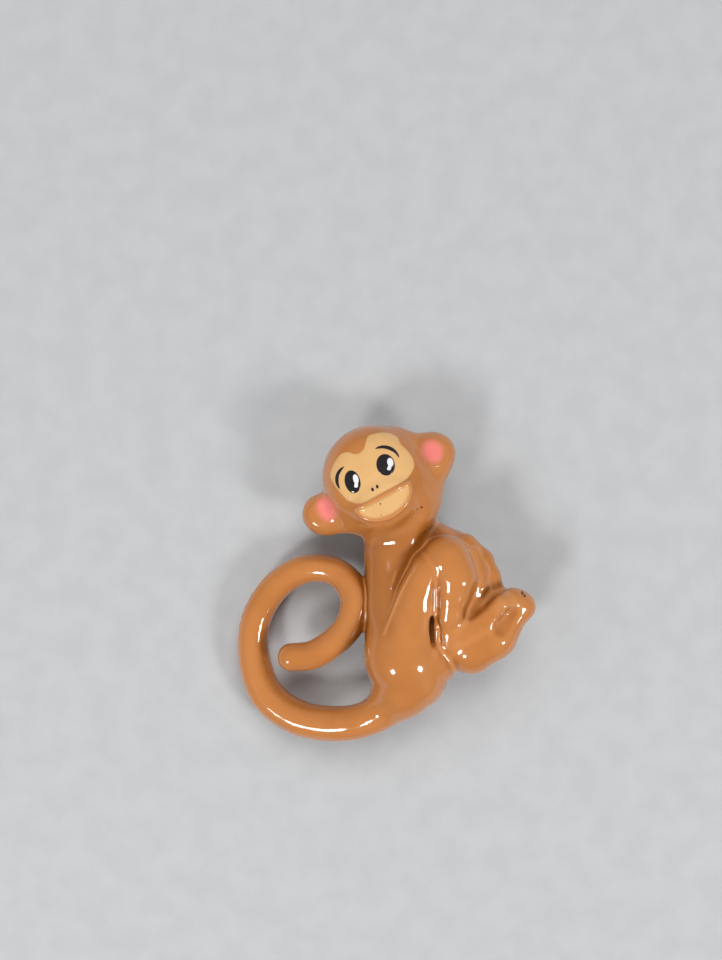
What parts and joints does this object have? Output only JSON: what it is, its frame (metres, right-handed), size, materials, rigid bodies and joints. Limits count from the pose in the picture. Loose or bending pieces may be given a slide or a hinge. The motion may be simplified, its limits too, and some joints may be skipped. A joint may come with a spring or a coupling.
{
  "type": "figural brooch",
  "caption": "Glossy enamelled cast brooch shaped as a sitting monkey with a ring-curled tail, worn on a bar pin with a turning safety catch.",
  "frame": {"origin": "bottom centre of the bounding box, on the surface that the brooch lies on with its pin side down", "axes": "+Z from the pin side out of the monkey's face, +Y to the top of the monkey's head, +X to its feet"},
  "size_m": [0.0354, 0.0378, 0.0132],
  "materials": {
    "brown_enamel": "gloss",
    "beige_enamel": "gloss",
    "pink_enamel": "gloss",
    "black_enamel": "gloss",
    "white_enamel": "gloss",
    "nickel_plate": "plated"
  },
  "bodies": {
    "brooch": {"monkey_casting": "brown_enamel", "face_enamel": "beige_enamel", "muzzle_enamel": "beige_enamel", "ear_enamel_left": "pink_enamel", "ear_enamel_right": "pink_enamel", "eye_left": "black_enamel", "eye_right": "black_enamel", "eye_glint_left": "white_enamel", "eye_glint_right": "white_enamel", "brow_left": "black_enamel", "brow_right": "black_enamel", "nostril_left": "black_enamel", "nostril_right": "black_enamel", "pin_bar": "nickel_plate", "bar_rivet_hinge_side": "nickel_plate", "bar_rivet_catch_side": "nickel_plate", "hinge_bracket": "nickel_plate", "hinge_rivet": "nickel_plate", "catch_housing": "nickel_plate"},
    "pin": {"pin_stem": "nickel_plate"},
    "rotor": {"catch_rotor": "nickel_plate"}
  },
  "joints": [
    {"name": "pin_swing", "type": "hinge", "parent": "brooch", "child": "pin", "pos_m": [-0.00085, 0.00255, 0.0015], "axis": [0, 1, 0], "range_deg": [0, 105]},
    {"name": "catch_turn", "type": "hinge", "parent": "brooch", "child": "rotor", "pos_m": [0.01055, 0.00255, 0.0015], "axis": [1, 0, 0], "range_deg": [0, 90]}
  ]
}
